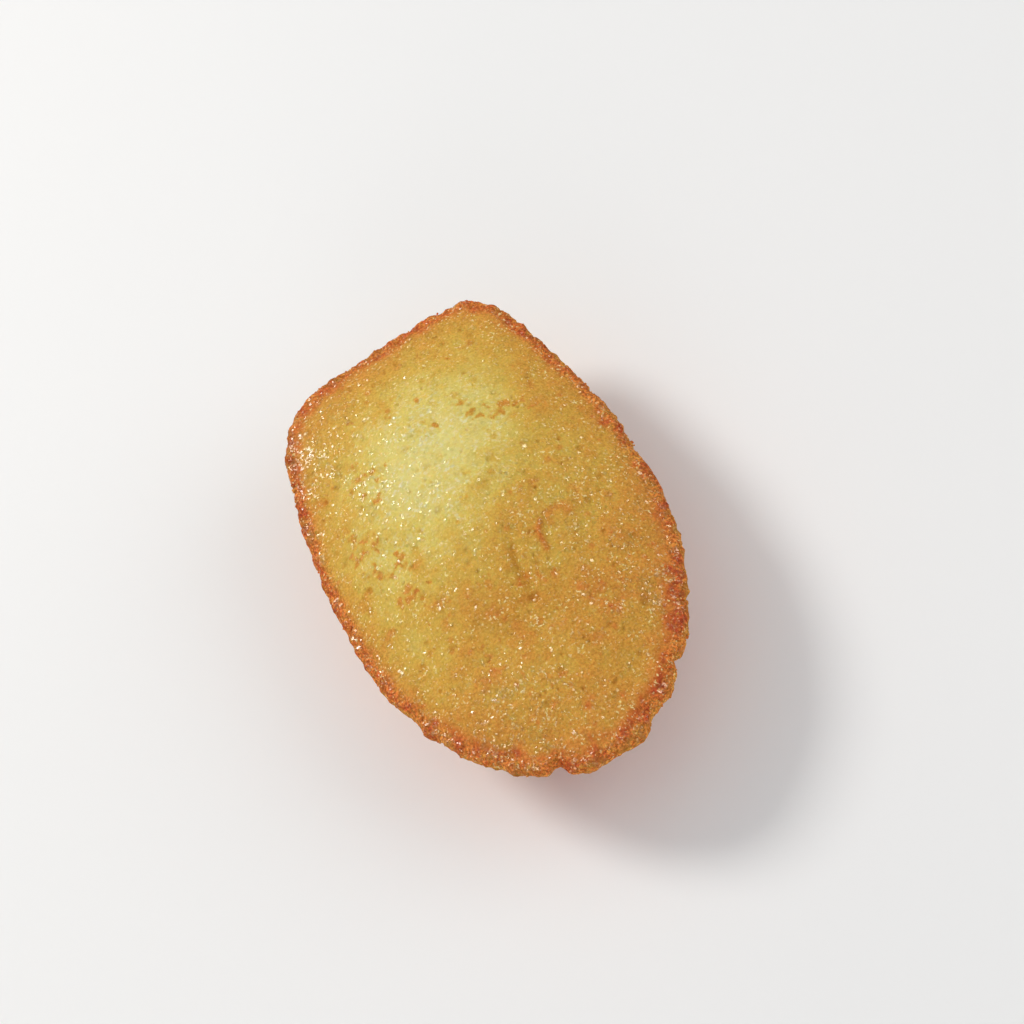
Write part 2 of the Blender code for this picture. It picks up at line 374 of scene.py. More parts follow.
class Skin:
    """The points and faces of one piece, as rings round a square grid, and what is known of each point."""

    def __init__(self, name, grid, more_rows):
        self.name = name
        self.grid = grid
        self.rings = grid + more_rows + 1
        self.parts = []
        self.faces = []
        self.count = 0
        i, j = np.meshgrid(np.arange(-grid, grid + 1), np.arange(-grid, grid + 1))
        ring = np.maximum(np.abs(i), np.abs(j))
        sides = [(i == ring) & (j < ring), (j == ring) & (i > -ring), (i == -ring) & (j > -ring)]
        places = [j + ring, 3 * ring - i, 5 * ring - j]
        place = np.select(sides, places, default=7 * ring + i)
        turn = place / np.maximum(8 * ring, 1)
        self.share = (ring / grid).ravel()
        self.runs = ((turn - 3 / 8) % 1 - 0.5).ravel() * RIM.length
        border = np.flatnonzero(ring.ravel() == grid)
        self.border = border[np.argsort(place.ravel()[border])]
        self.square = np.column_stack([i.ravel(), j.ravel()]) / grid

    def add(self, runs, points, heights, from_rim, share, flat):
        """Adds points. from_rim is the way along the skin from the rim's edge, and is negative underneath."""
        size = len(runs)
        self.parts.append({
            "run": runs,
            "from_rim": np.broadcast_to(from_rim, size),
            "share": np.broadcast_to(share, size),
            "point": np.column_stack([points, np.broadcast_to(heights, size)]),
            "flat": flat,
        })
        self.count += size
        return np.arange(self.count - size, self.count)

    def add_patch(self, points, heights, from_rim, down=False):
        """Adds the square grid, and starts the rows round it with its border."""
        flat = self.square * (self.grid / self.rings)
        index = self.add(self.runs, points, heights, from_rim, self.share, flat)
        square = index.reshape(2 * self.grid + 1, -1)
        corners = [square[:-1, :-1], square[:-1, 1:], square[1:, 1:], square[1:, :-1]]
        self.down = down
        self.add_faces(np.stack(corners, axis=-1).reshape(-1, 4))
        self.last = index[self.border]
        self.row = self.grid

    def add_row(self, points, heights, from_rim):
        """Adds one more row round the patch, and its faces."""
        self.row += 1
        flat = self.square[self.border] * (self.row / self.rings)
        index = self.add(self.runs[self.border], points, heights, from_rim, 1.0, flat)
        self.add_faces(np.stack([self.last, index, np.roll(index, -1), np.roll(self.last, -1)], axis=-1))
        self.last = index

    def add_faces(self, faces):
        self.faces.append(faces[:, ::-1] if self.down else faces)

    def close(self):
        """Shuts the piece, inside the cake, with one flat face."""
        self.add_faces(self.last[None, ::-1])

    def value(self, name):
        return np.concatenate([part[name] for part in self.parts])


def rim_at(runs):
    """The outline, its outward direction, the scallops' draw and the waver at places along the rim."""
    out = RIM.outward(runs)
    out /= np.linalg.norm(out, axis=1)[:, None]
    return RIM.outline(runs), out, RIM.scallop(runs), waver(runs)


def build_top():
    """The risen top, over the rim and under it to the wall of the shell."""
    skin = Skin("crumb_top", TOP_GRID, TOP_ARC_ROWS + SIDE_ROWS + FOOT_ROWS + LEDGE_ROWS + 1)
    plain, out, scallops, lift = rim_at(skin.runs)
    share = skin.share
    draw = (scallops * share**SCALLOP_SHYNESS + RIM_TOP_ROUND)[:, None]
    points = MIDDLE + share[:, None] * (plain - out * draw - MIDDLE)
    heights = RIM_TOP + dome_height(share, points) + lift * share**TOP_LIFT_POWER
    way_in = (1 - share) * np.linalg.norm(plain - MIDDLE, axis=1)
    skin.add_patch(points, heights, way_in + RIM_TOP_ROUND * math.pi / 2)
    plain, out, lift = plain[skin.border], out[skin.border], lift[skin.border]
    outline = plain - out * scallops[skin.border][:, None]
    width = ledge(skin.runs[skin.border])

    def add(inset, height, from_rim):
        skin.add_row(outline - out * np.broadcast_to(inset, len(out))[:, None], height, from_rim)

    for angle in np.radians(np.linspace(75, 0, TOP_ARC_ROWS)):
        height = RIM_TOP - RIM_TOP_ROUND * (1 - math.sin(angle)) + lift
        add(RIM_TOP_ROUND * (1 - math.cos(angle)), height, RIM_TOP_ROUND * angle)
    side = RIM_THICKNESS - RIM_TOP_ROUND - RIM_FOOT_ROUND
    for step in range(1, SIDE_ROWS + 1):
        drop = side * step / SIDE_ROWS
        add(0.0, RIM_TOP - RIM_TOP_ROUND - drop + lift, -drop)
    for angle in np.radians(np.linspace(0, 80, FOOT_ROWS + 1)[1:]):
        height = SHELL_DEPTH + RIM_FOOT_ROUND * (1 - math.sin(angle)) + lift
        add(RIM_FOOT_ROUND * (1 - math.cos(angle)), height, -side - RIM_FOOT_ROUND * angle)
    for step in np.linspace(0, 1, LEDGE_ROWS + 1)[1:]:
        way = RIM_FOOT_ROUND + step * (width - RIM_FOOT_ROUND)
        add(way, SHELL_DEPTH + lift, -FOOT - way)
    add(width + INSIDE_STEP, SHELL_DEPTH - INSIDE_STEP, -FOOT - width)
    skin.close()
    return skin


def build_shell():
    """The shell, from its rest spot up to the underside of the rim."""
    skin = Skin("shell_crust", SHELL_GRID, 1)
    plain, out, scallops, lift = rim_at(skin.runs)
    width = ledge(skin.runs)
    wall = plain - out * (scallops + width)[:, None]
    lean = 1 - ease(np.abs(skin.runs), FULL_LEAN, NO_LEAN)
    aim = MIDDLE + lean[:, None] * (RIB_FOCUS - MIDDLE)
    bend = (wall + aim) / 2
    outer, inward = skin.share[:, None], 1 - skin.share[:, None]
    points = outer**2 * wall + 2 * outer * inward * bend + inward**2 * MIDDLE
    heights = shell_height(skin.share, points) + lift * skin.share**SHELL_LIFT_POWER
    way_in = (1 - skin.share) * np.linalg.norm(wall - MIDDLE, axis=1)
    skin.add_patch(points, heights, -(FOOT + width + way_in), down=True)
    wall, out = wall[skin.border], out[skin.border]
    skin.add_row(wall - out * INSIDE_STEP, SHELL_DEPTH + INSIDE_STEP, -FOOT - width[skin.border])
    skin.close()
    return skin


def make_mesh(name, points, faces):
    """A smooth mesh. faces is a list of arrays, each of faces with one number of corners."""
    mesh = bpy.data.meshes.new(name)
    mesh.vertices.add(len(points))
    mesh.vertices.foreach_set("co", points.astype(np.float32).ravel())
    corners = np.concatenate([part.ravel() for part in faces])
    sizes = np.concatenate([np.full(len(part), part.shape[1]) for part in faces])
    mesh.loops.add(len(corners))
    mesh.loops.foreach_set("vertex_index", corners.astype(np.int32))
    mesh.polygons.add(len(sizes))
    mesh.polygons.foreach_set("loop_start", (np.cumsum(sizes) - sizes).astype(np.int32))
    mesh.update(calc_edges=True)
    mesh.shade_smooth()
    return mesh


def normals_of(mesh):
    flat = np.empty(len(mesh.vertices) * 3, dtype=np.float32)
    mesh.vertex_normals.foreach_get("vector", flat)
    return flat.reshape(-1, 3).astype(float)


def move(mesh, points):
    mesh.vertices.foreach_set("co", points.astype(np.float32).ravel())
    mesh.update()


def waves(points, size, detail=1, seed=0.0):
    """Smooth noise from about -1 to 1 at each point, with features of the given size."""
    shift = Vector((seed, seed * 1.7, -seed))
    scale = 1 / size
    if detail == 1:
        return np.array([noise.noise(Vector(point) * scale + shift) for point in points])
    return np.array([noise.fractal(Vector(point) * scale + shift, 1.0, 2.0, detail) for point in points])


def grains(points, size, seed=0.0):
    """Rounded grains of about the given size: 1 at the middle of each and 0 where two meet."""
    shift = Vector((seed, -seed, seed * 1.3))
    scale = 1 / size
    found = [noise.voronoi(Vector(point) * scale + shift)[0] for point in points]
    nearest = np.array([(ways[0], ways[1]) for ways in found])
    return np.clip((nearest[:, 1] - nearest[:, 0]) / 0.6, 0.0, 1.0)


def spots(points, places, reach, core=0.3):
    """0 to 1: how near each point is to the nearest of some places. Each has its own reach and solid core."""
    near = np.zeros(len(points))
    for place, size in zip(places, reach):
        way = np.linalg.norm(points[:, :len(place)] - place, axis=1) / size
        near = np.maximum(near, 1 - ease(way, core, 1.0))
    return near


def stroke(points, start, end, width):
    """1 along the line from one place to another and 0 beyond its width, in plan."""
    along = end - start
    step = np.clip((points[:, :2] - start) @ along / (along @ along), 0.0, 1.0)
    way = np.linalg.norm(points[:, :2] - start - step[:, None] * along, axis=1)
    return np.exp(-(way / width) ** 2)


def trail(points, places, width):
    """1 along the line through some places, given in millimetres, and 0 beyond its width, in plan."""
    places = np.array(places) * MM
    strokes = [stroke(points, start, end, width * MM) for start, end in zip(places[:-1], places[1:])]
    return np.max(strokes, axis=0)


def finish(mesh, material, bake, painted_shade=None, rim=None):
    """Gives a mesh its masks and its material, and puts it in the scene as a piece that rides the cake."""
    for name, values in {"bake": bake, "painted_shade": painted_shade, "rim": rim}.items():
        values = np.zeros(len(bake)) if values is None else values
        mesh.attributes.new(name, "FLOAT", "POINT").data.foreach_set("value", values.astype(np.float32))
    piece = bpy.data.objects.new(mesh.name, mesh)
    bpy.context.scene.collection.objects.link(piece)
    mesh.materials.append(material)
    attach(piece, "root")
    return piece


def lay_flat(skin, mesh):
    """Gives a skin its map: the square grid seen from above, and the hidden closing face in one corner."""
    corners = np.empty(len(mesh.loops), dtype=np.int32)
    mesh.loops.foreach_get("vertex_index", corners)
    flat = 0.5 + 0.49 * skin.value("flat")[corners]
    last = mesh.polygons[len(mesh.polygons) - 1]
    inside = slice(last.loop_start, last.loop_start + last.loop_total)
    flat[inside] = 0.997 + 0.002 * skin.value("flat")[corners[inside]]
    mesh.uv_layers.new(name="OFBake").data.foreach_set("uv", flat.astype(np.float32).ravel())


def bake_level(x, y, relief):
    """How far the open crumb is baked: palest on the bump, more golden to the fan end and the +X side."""
    turn = math.radians(PALE_TURN)
    off_x, off_y = x - PALE_MIDDLE[0], y - PALE_MIDDLE[1]
    along = off_x * math.sin(turn) + off_y * math.cos(turn)
    across = off_x * math.cos(turn) - off_y * math.sin(turn)
    pale = np.exp(-((along / PALE_REACH[0]) ** 2 + (across / PALE_REACH[1]) ** 2) ** 1.4)
    bake = 0.445 - 0.38 * pale + 0.115 * ease(-y, -6.0, 20.0)
    bake += 0.03 * ease(x, 0.0, 15.0) - 0.05 * ease(-x, 4.0, 18.0)
    bake -= 0.07 * ease(-x, 8.0, 17.0) * (1 - ease(np.abs(y + 2.0), 9.0, 16.0))
    # A little less baked in the dip below the bump, where its painted shade lies.
    bake -= 0.03 * painted_dip_shade(x, y)
    return bake + 0.08 * relief["lumps"] + 0.11 * relief["dimples"] + 0.04 * relief["crumb"]


def painted_dip_shade(x, y):
    """1 in the middle of the painted shade below the bump, falling to 0 round it."""
    return np.exp(-((x / DIP_SHADE_REACH) ** 2) - ((y - DIP_SHADE_Y) / DIP_SHADE_REACH) ** 2)


def bake_rim(bake, points, run, way, relief):
    """Adds the rim's orange fringe and its brown line, broken at the sides of the hinge end."""
    band_at, band_width, band_depth, fringe, fringe_depth = rim_look(run)
    patches = waves(points, 0.0032, detail=2, seed=14.2)
    rough_way = way + 0.7 * relief["ragged"] + 0.35 * relief["crumb"]
    shore = np.exp(-np.maximum(rough_way - band_at, 0.0) / fringe)
    bake = bake + (fringe_depth - bake) * shore * ease(way, -1.0, 0.5)
    band = np.exp(-np.abs((rough_way - band_at) / band_width) ** 3)
    broken = 0.85 * (1 - ease(np.abs(run - 14.0), 40.0, 62.0))
    band_depth = band_depth + 0.16 * relief["crumb"]
    bake = bake + (band_depth - bake) * band * (1 - broken * (1 - ease(patches, -0.35, 0.2)))
    return np.where(way < 0, bake + (0.86 - bake) * ease(-way, 0.0, 0.8), bake)


def make_top():
    """The crumb: soft lumps, fine grain, a few pits and one crease, and a ragged, browned rim."""
    skin = build_top()
    points = centred(skin.value("point"))
    runs, from_rim = skin.value("run"), skin.value("from_rim")
    mesh = make_mesh(skin.name, points, skin.faces)
    normals = normals_of(mesh)
    seam = ease(from_rim, -FOOT - SIDE_LEDGE, -FOOT)
    rim = 1 - ease(np.abs(from_rim - 0.0003), 0.0010, 0.0030)
    inland = ease(from_rim, 0.0010, 0.0060)
    relief = {
        "lumps": waves(points, 0.0095, seed=3.1),
        "dimples": waves(points, 0.0036, seed=8.4),
        "crumb": waves(points, 0.0013, detail=3, seed=1.3),
        "ragged": waves(points, 0.0023, detail=2, seed=5.5),
    }
    pits = spots(points, *scatter(PIT_COUNT, PIT_SIZES, seed=11))
    amber = spots(warped(points), *scatter(AMBER_COUNT, AMBER_SIZES, seed=29), core=0.0)
    hole = spots(points, [np.array(HOLE) * MM], [HOLE_REACH * MM])
    crease = np.maximum(trail(points, CREASE, CREASE_WIDTH), hole)
    curl = trail(points, CURL, CURL_WIDTH)
    ring = trail(points, ring_places(), RING_WIDTH)
    height = LUMP_HEIGHT * relief["lumps"] + DIMPLE_HEIGHT * relief["dimples"] + CURL_HEIGHT * curl
    height -= PIT_DEPTH * pits + AMBER_DEPTH * amber + CREASE_DEPTH * crease
    height -= VALLEY_DEPTH * hill(points[:, :2], VALLEY_CENTRE, VALLEY_SPREAD)
    height *= inland
    height += CRUMB_HEIGHT * relief["crumb"] + GRAIN_HEIGHT * grains(points, 0.00085, seed=2.2)
    height += rim * (RAGGED_HEIGHT * relief["ragged"] + RIM_CRUMB_HEIGHT * relief["crumb"])
    move(mesh, np.clip(points + normals * (height * seam)[:, None], CAD_LOW, CAD_HIGH))

    x, y = points[:, 0] / MM, points[:, 1] / MM
    bake = bake_rim(bake_level(x, y, relief), points, runs / MM, from_rim / MM, relief)
    freckles = spots(warped(points), *clusters(), core=0.35)
    specks = spots(points, *scatter(SPECK_COUNT, SPECK_SIZES, seed=5))
    bake += (0.78 - bake) * 0.75 * freckles + 0.16 * specks + 0.15 * amber
    bake += (0.82 - bake) * np.maximum(curl, 0.55 * ring)
    notch = trail(points, NOTCH, NOTCH_WIDTH)
    bake += (1.0 - bake) * notch
    # Painted shade: darker in the crease, the hole, the pits and the notch, and in the dip below the bump.
    painted_shade = np.maximum(np.maximum(crease, 0.6 * pits) * inland, notch)
    piece = finish(mesh, crumb_material(), bake, np.maximum(painted_shade, 0.35 * painted_dip_shade(x, y)), rim)
    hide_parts("madeleine")
    lay_flat(skin, mesh)
    make_glaze(mesh, np.concatenate([part for part in skin.faces if part.shape[1] == 4]), bake, from_rim)


def make_shell():
    """The shell: finely porous, ribbed at the fan end, and mottled where it browned against the tin."""
    skin = build_shell()
    points = centred(skin.value("point"))
    runs, from_rim, share = skin.value("run"), skin.value("from_rim"), skin.value("share")
    mesh = make_mesh(skin.name, points, skin.faces)
    rib = RIM.groove(runs) * ease(share, GROOVE_INNER_END, GROOVE_FULL)
    points = points - normals_of(mesh) * (GROOVE_DEPTH * rib)[:, None]
    move(mesh, points)
    seam = ease(-from_rim, FOOT + SIDE_LEDGE, FOOT + SIDE_LEDGE + 0.0008)
    free = ease(points[:, 2], 0.0, 0.0012) * seam  # 0 at the rest spot and where the shell meets the rim
    lumps = waves(points, 0.011, seed=6.1)
    crumb = waves(points, 0.0014, detail=3, seed=4.3)
    pores = spots(points, *scatter(PORE_COUNT, PORE_SIZES, seed=23, under=True))
    height = SHELL_LUMP_HEIGHT * lumps + SHELL_CRUMB_HEIGHT * crumb - PORE_DEPTH * pores
    move(mesh, np.maximum(points + normals_of(mesh) * (height * free)[:, None], CAD_LOW))
    mottle = waves(points, 0.0075, detail=3, seed=7.7)
    hinge = ease(np.abs(runs) / RIM.length, *HINGE_REGION) * ease(share, 0.80, 0.93)
    patches = waves(points, 0.0024, detail=3, seed=9.1)
    bake = 0.90 + 0.22 * mottle + 0.10 * patches + 0.16 * rib - 0.40 * hinge
    # Painted shade in the pores and the rib grooves.
    piece = finish(mesh, crust_material(), bake, 0.6 * pores + 0.35 * rib)
    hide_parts("madeleine")
    lay_flat(skin, mesh)


def centred(points):
    """The points, moved so that the middle of the outline's box is at the origin."""
    return points - np.array([0.0, CENTRE_Y, 0.0])


def scatter(count, sizes, seed, under=False):
    """Places strewn over the cake in plan, or over the shell, and a reach for each."""
    random = np.random.default_rng(seed)
    turns = random.random(count) - 0.5
    share = np.sqrt(random.random(count)) * EDGE_MARGIN
    places = MIDDLE + share[:, None] * (plain_outline(turns) - MIDDLE) - (0.0, CENTRE_Y)
    if under:
        heights = shell_height(share, places)
        places = np.column_stack([places, heights])
    low, high = sizes
    return places, low + (high - low) * random.random(count) ** 2


def clusters():
    """Places and reaches of the freckles, strewn over their fields."""
    random = np.random.default_rng(17)
    places, reach = [], []
    for x, y, spread, number in FRECKLES:
        places += list((np.array([x, y]) + random.normal(scale=spread * 0.55, size=(number, 2))) * MM)
        reach += list(MM * random.uniform(*FRECKLE_SIZES, number))
    return places, reach


def ring_places():
    """Places along the open ring, in millimetres."""
    angle = np.radians(np.linspace(*RING_TURN, 9))
    return RING_MIDDLE + RING_RADIUS * np.column_stack([np.cos(angle), np.sin(angle)])


def warped(points):
    """The points, nudged about in plan, so that what is stamped on them has an uneven edge."""
    nudge = np.column_stack([waves(points, 0.0011, detail=2, seed=seed) for seed in (12.1, 15.7)])
    return points[:, :2] + MARK_WARP * nudge


def rim_look(run):
    """The brown line's place, half width and depth, and the fringe's reach and depth, along the rim (mm)."""
    table = np.array(RIM_LOOK)
    return [np.interp(run, table[:, 0], table[:, k], period=RIM.length / MM) for k in range(1, 6)]


def make_crumbs():
    """Crumbs that cling to the rim: small uneven lumps, sunk into it."""
    random = np.random.default_rng(31)
    ball = bmesh.new()
    bmesh.ops.create_icosphere(ball, subdivisions=2, radius=1.0)
    shape = np.array([v.co for v in ball.verts])
    sides = np.array([[v.index for v in face.verts] for face in ball.faces])
    ball.free()
    runs = (random.random(RIM_CRUMBS) - 0.5) * RIM.length
    keep = random.random(RIM_CRUMBS) < 0.35 + 0.65 * (1 - ease(np.abs(runs - 0.010), 0.030, 0.070))
    runs = runs[keep]
    plain, out, scallops, lift = rim_at(runs)
    angle = np.radians(random.uniform(-35, 80, len(runs)))
    size = RIM_CRUMB_SIZE + RIM_CRUMB_GROWTH * random.random(len(runs)) ** 2
    reach = RIM_TOP_ROUND - 0.35 * size
    inset = scallops + RIM_TOP_ROUND - reach * np.cos(angle)
    heights = RIM_TOP - RIM_TOP_ROUND + reach * np.sin(angle) + lift
    places = centred(np.column_stack([plain - out * inset[:, None], heights]))
    points = []
    for place, radius in zip(places, size):
        turn = Matrix.Rotation(random.random() * 6.28, 3, Vector(random.normal(size=3)).normalized())
        lump = shape * (1 + 0.6 * waves(shape, 0.8, seed=float(place.sum()) * 1e4)[:, None])
        points.append(place + (lump * random.uniform(0.7, 1.3, 3)) @ np.array(turn) * radius)
    corners = np.concatenate([sides + k * len(shape) for k in range(len(runs))])
    points = np.clip(np.concatenate(points), CAD_LOW, CAD_HIGH)
    mesh = make_mesh("rim_crumbs", points, [corners])
    bake = np.repeat(random.uniform(0.72, 0.98, len(runs)), len(shape))
    finish(mesh, bpy.data.materials["crumb"], bake)


def glaze_share(points, way):
    """How thickly the wet grains are strewn: in clumps, thickest in a few wet places and along the rim."""
    x, y = points[:, 0] / MM, points[:, 1] / MM
    share = 0.40 + 2.2 * np.exp(-((way / MM - 0.8) / 1.6) ** 2)
    for middle_x, middle_y, reach, thick in GLAZE:
        share += thick * np.exp(-((x - middle_x) ** 2 + (y - middle_y) ** 2) / reach ** 2)
    return share * (0.4 + 1.2 * ease(waves(points, 0.0024, detail=2, seed=21.3), -0.1, 0.5))


def make_glaze(mesh, quads, bake, from_rim):
    """Wet grains: low swellings strewn over the crumb, each tipped its own way, that catch the light."""
    random = np.random.default_rng(41)
    points = np.empty(len(mesh.vertices) * 3, dtype=np.float32)
    mesh.vertices.foreach_get("co", points)
    points = points.reshape(-1, 3).astype(float)
    normals = normals_of(mesh)
    quads = quads[from_rim[quads].min(axis=1) > -0.0007]
    middles = points[quads].mean(axis=1)
    first_diagonal = points[quads[:, 2]] - points[quads[:, 0]]
    second_diagonal = points[quads[:, 3]] - points[quads[:, 1]]
    area = np.linalg.norm(np.cross(first_diagonal, second_diagonal), axis=1)
    weight = area * glaze_share(middles, from_rim[quads].mean(axis=1))
    chosen = quads[random.choice(len(quads), GLAZE_COUNT, p=weight / weight.sum())]
    u, v = random.random((2, GLAZE_COUNT, 1))
    parts = np.stack([(1 - u) * (1 - v), u * (1 - v), u * v, (1 - u) * v], axis=1)
    place = (points[chosen] * parts).sum(axis=1)
    up = (normals[chosen] * parts).sum(axis=1) + random.normal(scale=GLAZE_TIP, size=(GLAZE_COUNT, 3))
    up /= np.linalg.norm(up, axis=1)[:, None]
    side = np.cross(up, random.normal(size=(GLAZE_COUNT, 3)))
    side /= np.linalg.norm(side, axis=1)[:, None]
    front = np.cross(up, side)
    low, high = GLAZE_SIZES
    length = low + (high - low) * random.random(GLAZE_COUNT) ** 2.5
    breadth = length * random.uniform(0.30, 0.95, GLAZE_COUNT)
    rise = length * breadth / (2 * GLAZE_ROUND * random.uniform(0.6, 2.4, GLAZE_COUNT))
    uneven = random.uniform(0.8, 1.2, (GLAZE_COUNT, GLAZE_SIDES))
    rings = [place + up * rise[:, None]]
    for reach, sink in ((1.0, 0.0), (1.0, 0.0), (1.05, GLAZE_SINK)):
        for k in range(GLAZE_SIDES):
            turn = 2 * math.pi * k / GLAZE_SIDES
            across = side * (length * math.cos(turn))[:, None] + front * (breadth * math.sin(turn))[:, None]
            rings.append(place + across * (uneven[:, k] * reach)[:, None] - up * sink)
    shaped = np.clip(np.stack(rings, axis=1).reshape(-1, 3), CAD_LOW, CAD_HIGH)
    size = len(rings)
    starts = size * np.arange(GLAZE_COUNT)
    faces = [(part[None] + starts[:, None, None]).reshape(-1, part.shape[1]) for part in grain_faces()]
    baked = (bake[chosen] * parts[:, :, 0]).sum(axis=1)
    finish(make_mesh("wet_grains", shaped, faces), glaze_material(), np.repeat(baked, size))


def grain_faces():
    """Faces of one wet grain: a fan round its top, and a wall with its own edge, down into the crumb."""
    first = np.arange(GLAZE_SIDES)
    following = np.roll(first, -1)
    wall, foot = 1 + GLAZE_SIDES, 1 + 2 * GLAZE_SIDES
    tops = np.column_stack([np.zeros(GLAZE_SIDES, dtype=int), 1 + first, 1 + following])
    walls = np.column_stack([wall + first, foot + first, foot + following, wall + following])
    return tops, walls


class Nodes:
    """Short ways to make one material's nodes."""

    def __init__(self, name):
        self.material = bpy.data.materials.new(name)
        self.material.use_nodes = True
        self.tree = self.material.node_tree
        self.shader = self.tree.nodes["Principled BSDF"]

    def add(self, kind, *inputs, **settings):
        node = self.tree.nodes.new("ShaderNode" + kind)
        for key, value in settings.items():
            setattr(node, key, value)
        for socket, value in zip(node.inputs, inputs):
            self.put(socket, value)
        return node

    def put(self, socket, value):
        if value is None:
            return
        if isinstance(value, bpy.types.NodeSocket):
            self.tree.links.new(value, socket)
        else:
            socket.default_value = value

    def surface(self, name, value):
        self.put(self.shader.inputs[name], value)

    def attribute(self, name):
        return self.add("Attribute", attribute_name=name).outputs["Fac"]

    def math(self, operation, *values):
        return self.add("Math", *values, operation=operation).outputs[0]

    def span(self, value, low, high, start=0.0, end=1.0):
        node = self.add("MapRange", value, low, high, start, end, interpolation_type="SMOOTHSTEP")
        return node.outputs[0]

    def mix(self, factor, first, second, blend="MIX"):
        node = self.add("Mix", data_type="RGBA", blend_type=blend)
        self.put(node.inputs[0], factor)
        self.put(node.inputs[6], first)
        self.put(node.inputs[7], second)
        return node.outputs[2]

    def noise(self, size, detail=2.0, roughness=0.6, seed=0.0):
        place = self.add("Mapping", self.add("TexCoord").outputs["Object"], (seed, -seed, seed * 0.5))
        node = self.add("TexNoise", noise_dimensions="3D")
        self.put(node.inputs["Vector"], place.outputs[0])
        self.put(node.inputs["Scale"], 1 / size)
        self.put(node.inputs["Detail"], detail)
        self.put(node.inputs["Roughness"], roughness)
        return node.outputs[0]


def srgb(red, green, blue):
    """Linear colour from the 0 to 255 values of a screen colour."""
    values = [c / 255 for c in (red, green, blue)]
    return (*(c / 12.92 if c <= 0.04045 else ((c + 0.055) / 1.055) ** 2.4 for c in values), 1.0)


# The crust's colours, from hardly baked to the darkest line.
BAKE_COLOURS = (
    (0.00, srgb(238, 222, 136)),
    (0.22, srgb(232, 208, 106)),
    (0.42, srgb(225, 184, 81)),
    (0.58, srgb(221, 164, 70)),
    (0.74, srgb(221, 149, 67)),
    (0.88, srgb(218, 127, 58)),
    (1.05, srgb(194, 85, 47)),
)


# Tint of the painted shade in hollows, tint of the deeper specks, cream of flecks that are partly painted
# glints, and painted sheen.
PAINTED_SHADE_TINT = (0.72, 0.52, 0.30, 1.0)
DEEP_TINT = (0.60, 0.45, 0.25, 1.0)
CREAM_CRUMB_AND_GLINT_COLOUR = srgb(255, 232, 165)
PAINTED_SHEEN_COLOUR = srgb(242, 230, 182)


def bake_colour(n, level):
    """The crust's colour at a level of baking."""
    last = BAKE_COLOURS[-1][0]
    ramp = n.add("ValToRGB", n.math("MULTIPLY", level, 1 / last))
    points = ramp.color_ramp.elements
    while len(points) < len(BAKE_COLOURS):
        points.new(0.5)
    for point, (place, colour) in zip(points, BAKE_COLOURS):
        point.position = place / last
        point.color = colour
    return ramp.outputs[0]


def speckled(n, mid, fine_speck, speck):
    """The baked colour with specks: broad ones, and fine ones that are stronger near the rim."""
    fine = n.math("SUBTRACT", n.noise(0.00045, seed=0.7), 0.5)
    strong = n.math("MULTIPLY_ADD", n.attribute("rim"), 0.45, fine_speck)
    level = n.math("MULTIPLY_ADD", fine, strong, n.attribute("bake"))
    return bake_colour(n, n.math("MULTIPLY_ADD", mid, speck, level))


def toast_and_painted_shade(n, colour, mid):
    """Painted shade that darkens the hollows, and well baked places made lighter here and deeper there."""
    # Painted shade in the hollows.
    shade = n.math("MULTIPLY", n.attribute("painted_shade"), 0.55)
    colour = n.mix(shade, colour, n.mix(1.0, colour, PAINTED_SHADE_TINT, "MULTIPLY"))
    shades = n.span(n.noise(0.00034, seed=1.6), 0.3, 0.7, -0.5, 0.5)
    depth = n.math("MINIMUM", n.math("MULTIPLY_ADD", n.attribute("bake"), 0.80, 0.08), 0.58)
    light = n.math("MULTIPLY_ADD", depth, 0.20, 0.97)
    light = n.math("MULTIPLY_ADD", n.math("MULTIPLY", n.attribute("rim"), 0.70), shades, light)
    light = n.math("MULTIPLY_ADD", mid, 0.28, light)
    lit = n.add("VectorMath", colour, operation="SCALE")
    n.put(lit.inputs["Scale"], light)
    deep = n.mix(1.0, lit.outputs[0], DEEP_TINT, "MULTIPLY")
    return n.mix(n.math("MULTIPLY", n.math("SUBTRACT", 0.5, shades), depth), lit.outputs[0], deep)


def cream_crumb_glints_and_sheen(n, colour, fleck_and_glint):
    """Adds cream flecks, partly paler crumb and partly painted glints, in patches, and painted sheen on the
    palest crumb.
    """
    patches = n.span(n.noise(0.0030, seed=6.3), 0.36, 0.64, 0.2 * fleck_and_glint, 1.3 * fleck_and_glint)
    # Cream flecks: partly paler crumb, partly painted glints.
    crumb_and_glint_flecks = n.math("MULTIPLY", n.span(n.noise(0.00040, 1.0, 0.5, seed=4.4), 0.60, 0.72), patches)
    colour = n.mix(crumb_and_glint_flecks, colour, CREAM_CRUMB_AND_GLINT_COLOUR)
    # Painted sheen: milky patches on the palest crumb.
    painted_sheen = n.span(n.noise(0.0006, seed=8.2), 0.48, 0.66, 0.0, 0.8)
    painted_sheen = n.math("MULTIPLY", painted_sheen, n.span(n.noise(0.0035, seed=3.3), 0.40, 0.60, 0.2, 1.0))
    painted_sheen = n.math("MULTIPLY", painted_sheen, n.span(n.attribute("bake"), 0.10, 0.45, 1.0, 0.0))
    return n.mix(painted_sheen, colour, PAINTED_SHEEN_COLOUR)


